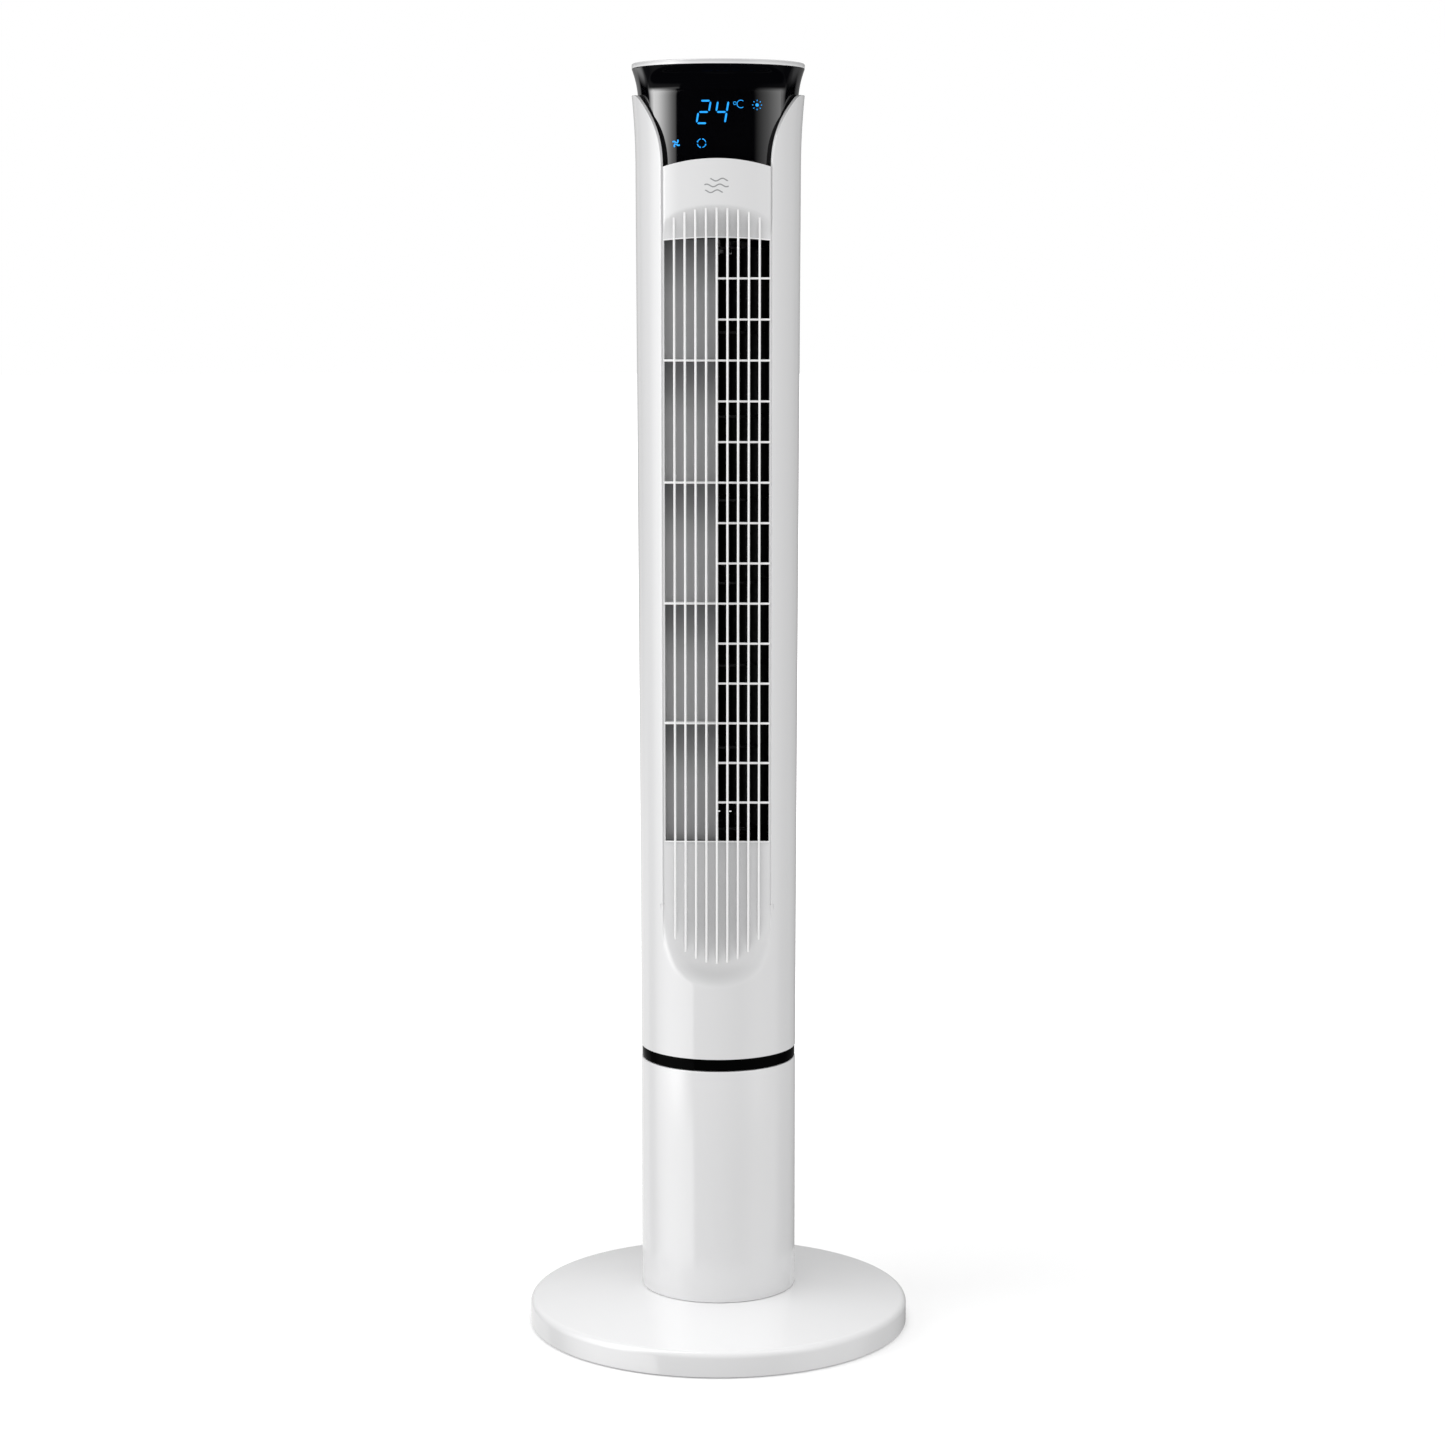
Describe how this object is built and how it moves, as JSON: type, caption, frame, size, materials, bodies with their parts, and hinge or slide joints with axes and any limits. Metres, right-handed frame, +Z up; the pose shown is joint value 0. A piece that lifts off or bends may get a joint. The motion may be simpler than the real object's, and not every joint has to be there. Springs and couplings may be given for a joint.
{
  "type": "tower fan",
  "caption": "Slim oscillating tower fan on a round base, with a ribbed air outlet, a cross-flow blower, a gloss display head and a carry recess.",
  "frame": {"origin": "on the floor under the middle of the round base", "axes": "+Z up; -Y is the front, where the air comes out; +X is to the right as seen from the front"},
  "size_m": [0.308, 0.308, 1.0143],
  "materials": {
    "white_gloss": "gloss",
    "white_satin": "satin",
    "pale_plastic": "matte",
    "grey_plastic": "matte",
    "black_gloss": "gloss",
    "black_plastic": "matte",
    "rubber": "matte",
    "acetal": "satin",
    "plate_steel": "mill",
    "screw_steel": "zinc plated",
    "motor_metal": "galvanised",
    "rotor_core": "machined",
    "winding_copper": "enamelled wire",
    "brass": "machined",
    "board_green": "solder mask",
    "component_black": "matte",
    "component_blue": "satin",
    "led_blue": "lit"
  },
  "bodies": {
    "pedestal": {"base_cover": "white_gloss", "base_weight": "plate_steel", "base_bottom_plate": "black_plastic", "rubber_feet": "rubber", "base_screws": "screw_steel", "cord_gland": "rubber", "column_tube": "white_gloss", "column_screws": "screw_steel", "swivel_plate": "pale_plastic", "swivel_screws": "screw_steel", "thrust_washer": "acetal", "retaining_ring": "screw_steel", "sun_gear": "acetal"},
    "tower": {"turntable": "pale_plastic", "ring_trim": "black_gloss", "floor_screws": "screw_steel", "swing_motor": "motor_metal", "swing_motor_screws": "screw_steel", "front_casing": "white_gloss", "rear_casing": "white_gloss", "rear_top_casing": "white_gloss", "casing_screws": "screw_steel", "rear_grille": "white_gloss", "dust_screen": "black_plastic", "carry_handle": "white_satin", "front_grille": "white_gloss", "air_guide": "grey_plastic", "duct_volute": "black_plastic", "motor_plate": "black_plastic", "top_bracket": "black_plastic", "bearing_mount": "rubber", "top_bearing": "brass", "stator_core": "plate_steel", "stator_windings": "winding_copper", "motor_upper_bell": "motor_metal", "motor_lower_bell": "motor_metal", "motor_screws": "screw_steel", "power_board": "board_green", "run_capacitor": "component_black", "power_board_parts": "component_blue", "head_shell": "black_gloss", "head_screws": "screw_steel", "display_lens": "black_gloss", "display_board": "board_green", "led_display": "led_blue", "top_cap": "white_gloss", "control_board": "board_green", "tact_switches": "component_black", "board_screws": "screw_steel"},
    "blower": {"impeller": "black_plastic", "top_shaft": "screw_steel", "drive_coupling": "rubber", "motor_shaft": "screw_steel", "motor_rotor": "rotor_core"},
    "pinion": {"swing_pinion": "brass"},
    "button_timer": {"timer_button": "white_satin"},
    "button_speed": {"speed_button": "white_satin"},
    "button_power": {"power_button": "white_satin"},
    "button_mode": {"mode_button": "white_satin"},
    "button_swing": {"swing_button": "white_satin"}
  },
  "joints": [
    {"name": "oscillation", "type": "hinge", "parent": "pedestal", "child": "tower", "pos_m": [0, 0, 0.221], "axis": [0, 0, 1], "range_deg": [-40, 40]},
    {"name": "blower_spin", "type": "hinge", "parent": "tower", "child": "blower", "pos_m": [0, 0.012, 0.64], "axis": [0, 0, 1], "continuous": true},
    {"name": "pinion_spin", "type": "hinge", "parent": "tower", "child": "pinion", "pos_m": [0, 0.03755, 0.2355], "axis": [0, 0, 1], "range_deg": [-165, 165]},
    {"name": "timer_press", "type": "slide", "parent": "tower", "child": "button_timer", "axis": [0, 0, -1], "range_m": [0, 0.001], "stiffness_N_per_m": 400, "springref_m": -0.0005},
    {"name": "speed_press", "type": "slide", "parent": "tower", "child": "button_speed", "axis": [0, 0, -1], "range_m": [0, 0.001], "stiffness_N_per_m": 400, "springref_m": -0.0005},
    {"name": "power_press", "type": "slide", "parent": "tower", "child": "button_power", "axis": [0, 0, -1], "range_m": [0, 0.001], "stiffness_N_per_m": 400, "springref_m": -0.0005},
    {"name": "mode_press", "type": "slide", "parent": "tower", "child": "button_mode", "axis": [0, 0, -1], "range_m": [0, 0.001], "stiffness_N_per_m": 400, "springref_m": -0.0005},
    {"name": "swing_press", "type": "slide", "parent": "tower", "child": "button_swing", "axis": [0, 0, -1], "range_m": [0, 0.001], "stiffness_N_per_m": 400, "springref_m": -0.0005}
  ],
  "couplings": [
    {"joint": "pinion_spin", "follows": "oscillation", "ratio": 4}
  ]
}
